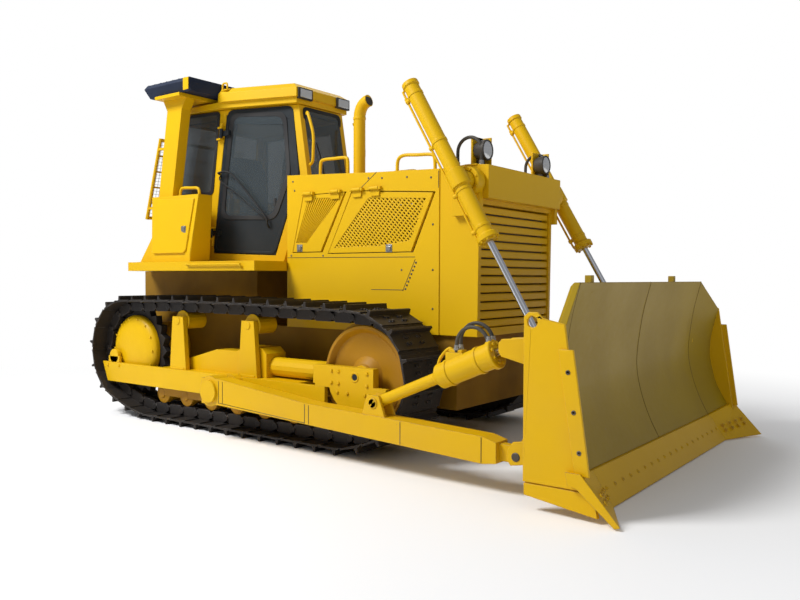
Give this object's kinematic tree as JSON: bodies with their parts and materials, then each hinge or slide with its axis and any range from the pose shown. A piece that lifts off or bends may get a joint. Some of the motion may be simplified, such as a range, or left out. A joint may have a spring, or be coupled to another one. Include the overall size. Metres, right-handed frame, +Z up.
{
  "type": "bulldozer",
  "caption": "Crawler bulldozer with a curved front blade on two push arms, a narrow-nosed cab under a roll-over frame, and hinged cab and engine doors",
  "frame": {"origin": "centre of the bounding box on the ground", "axes": "X forward, Y to the left of the machine, Z up"},
  "size_m": [5.735, 3.18, 3.186],
  "materials": {
    "yellow_paint": "semi-gloss, chipped at the edges",
    "track_steel": "worn and dusty",
    "rusty_steel": "rusted, worn",
    "wear_steel": "scraped bare",
    "cab_glass": "tinted",
    "dark_paint": "satin",
    "navy_paint": "satin, dusty",
    "black_paint": "heat-dulled",
    "engine_iron": "oily",
    "seat_cloth": "woven",
    "black_plastic": "grained",
    "chrome_rod": "polished"
  },
  "bodies": {
    "chassis": {"track_right": "track_steel", "final_drive_right": "yellow_paint", "sprocket_right": "track_steel", "idler_right": "rusty_steel", "lower_rollers_right": "rusty_steel", "track_frame_right": "yellow_paint", "idler_yoke_right": "yellow_paint", "track_left": "track_steel", "final_drive_left": "yellow_paint", "sprocket_left": "track_steel", "idler_left": "rusty_steel", "lower_rollers_left": "rusty_steel", "track_frame_left": "yellow_paint", "idler_yoke_left": "yellow_paint", "main_hull": "yellow_paint", "engine_block": "engine_iron", "radiator_guard": "yellow_paint", "radiator_grille": "yellow_paint", "engine_hood": "yellow_paint", "exhaust_stack": "yellow_paint", "platform": "yellow_paint", "side_window_right": "cab_glass", "side_window_left": "cab_glass", "cab_shell": "yellow_paint", "windscreen": "cab_glass", "rear_window": "cab_glass", "cab_roof": "yellow_paint", "seat": "seat_cloth", "console": "black_plastic", "rops_frame": "yellow_paint", "rops_canopy": "navy_paint", "side_box_right": "yellow_paint", "side_box_left": "yellow_paint", "fuel_tank": "yellow_paint", "drawbar": "yellow_paint", "rear_guard": "yellow_paint", "equaliser_bar": "yellow_paint", "guard_lamps": "black_paint"},
    "push_arm_left_body": {"push_arm_left": "yellow_paint", "screw_brace": "yellow_paint"},
    "push_arm_right_body": {"push_arm_right": "yellow_paint", "tilt_cylinder_barrel": "yellow_paint"},
    "blade_body": {"blade": "yellow_paint", "cutting_edge": "wear_steel", "end_bit_right": "wear_steel", "end_bit_left": "wear_steel"},
    "tilt_rod_body": {"tilt_cylinder_rod": "chrome_rod"},
    "lift_barrel_right_body": {"lift_cylinder_right": "yellow_paint"},
    "lift_rod_right_body": {"lift_rod_right": "chrome_rod"},
    "cab_door_right_body": {"cab_door_right": "dark_paint", "door_glass_right": "cab_glass"},
    "mesh_door_right_body": {"mesh_door_right": "yellow_paint"},
    "louvre_door_right_body": {"louvre_door_right": "yellow_paint"},
    "lift_barrel_left_body": {"lift_cylinder_left": "yellow_paint"},
    "lift_rod_left_body": {"lift_rod_left": "chrome_rod"},
    "cab_door_left_body": {"cab_door_left": "dark_paint", "door_glass_left": "cab_glass"},
    "mesh_door_left_body": {"mesh_door_left": "yellow_paint"},
    "louvre_door_left_body": {"louvre_door_left": "yellow_paint"}
  },
  "joints": [
    {"name": "blade_lift", "type": "hinge", "parent": "chassis", "child": "push_arm_left_body", "pos_m": [-0.6875, 1.3275, 0.405], "axis": [0, -1, 0], "range_deg": [-6, 18]},
    {"name": "blade_tilt", "type": "hinge", "parent": "push_arm_left_body", "child": "blade_body", "pos_m": [2.1405, 1.3275, 0.59], "axis": [1, 0, 0], "range_deg": [-2.5, 2.5]},
    {"name": "right_arm_pitch", "type": "hinge", "parent": "push_arm_left_body", "child": "push_arm_right_body", "pos_m": [-0.6875, -1.3275, 0.405], "axis": [0, -1, 0], "range_deg": [-2.75, 2.75]},
    {"name": "tilt_extend", "type": "slide", "parent": "push_arm_right_body", "child": "tilt_rod_body", "axis": [0.9216, 0, 0.3881], "range_m": [-0.03, 0.03]},
    {"name": "lift_swing_right", "type": "hinge", "parent": "chassis", "child": "lift_barrel_right_body", "pos_m": [1.3325, -0.8, 2.045], "axis": [0, -1, 0], "range_deg": [-6.34, 17.02]},
    {"name": "lift_stroke_right", "type": "slide", "parent": "lift_barrel_right_body", "child": "lift_rod_right_body", "axis": [-0.5058, 0, 0.8627], "range_m": [-0.278, 0.814]},
    {"name": "cab_door_swing_right", "type": "hinge", "parent": "chassis", "child": "cab_door_right_body", "pos_m": [-1.6555, -0.586, 1.72], "axis": [-0.1226, -0.0281, -0.9921], "range_deg": [0, 55]},
    {"name": "mesh_door_swing_right", "type": "hinge", "parent": "chassis", "child": "mesh_door_right_body", "pos_m": [-0.2275, -0.62, 2.062], "axis": [-1, 0, 0], "range_deg": [0, 80]},
    {"name": "louvre_door_swing_right", "type": "hinge", "parent": "chassis", "child": "louvre_door_right_body", "pos_m": [-0.2275, -0.62, 2.062], "axis": [-1, 0, 0], "range_deg": [0, 80]},
    {"name": "lift_swing_left", "type": "hinge", "parent": "chassis", "child": "lift_barrel_left_body", "pos_m": [1.3325, 0.8, 2.045], "axis": [0, -1, 0], "range_deg": [-6.34, 17.02]},
    {"name": "lift_stroke_left", "type": "slide", "parent": "lift_barrel_left_body", "child": "lift_rod_left_body", "axis": [-0.5058, 0, 0.8627], "range_m": [-0.278, 0.814]},
    {"name": "cab_door_swing_left", "type": "hinge", "parent": "chassis", "child": "cab_door_left_body", "pos_m": [-1.6555, 0.586, 1.72], "axis": [0.1226, -0.0281, 0.9921], "range_deg": [0, 55]},
    {"name": "mesh_door_swing_left", "type": "hinge", "parent": "chassis", "child": "mesh_door_left_body", "pos_m": [-0.2275, 0.62, 2.062], "axis": [1, 0, 0], "range_deg": [0, 80]},
    {"name": "louvre_door_swing_left", "type": "hinge", "parent": "chassis", "child": "louvre_door_left_body", "pos_m": [-0.2275, 0.62, 2.062], "axis": [1, 0, 0], "range_deg": [0, 80]}
  ],
  "couplings": [
    {"joint": "right_arm_pitch", "follows": "blade_tilt", "ratio": -0.9388},
    {"joint": "tilt_extend", "follows": "blade_tilt", "m_per_rad": -0.4684},
    {"joint": "lift_swing_right", "follows": "blade_lift", "ratio": 0.89},
    {"joint": "lift_stroke_right", "follows": "blade_lift", "m_per_rad": 2.56},
    {"joint": "lift_swing_left", "follows": "blade_lift", "ratio": 0.89},
    {"joint": "lift_stroke_left", "follows": "blade_lift", "m_per_rad": 2.56}
  ]
}
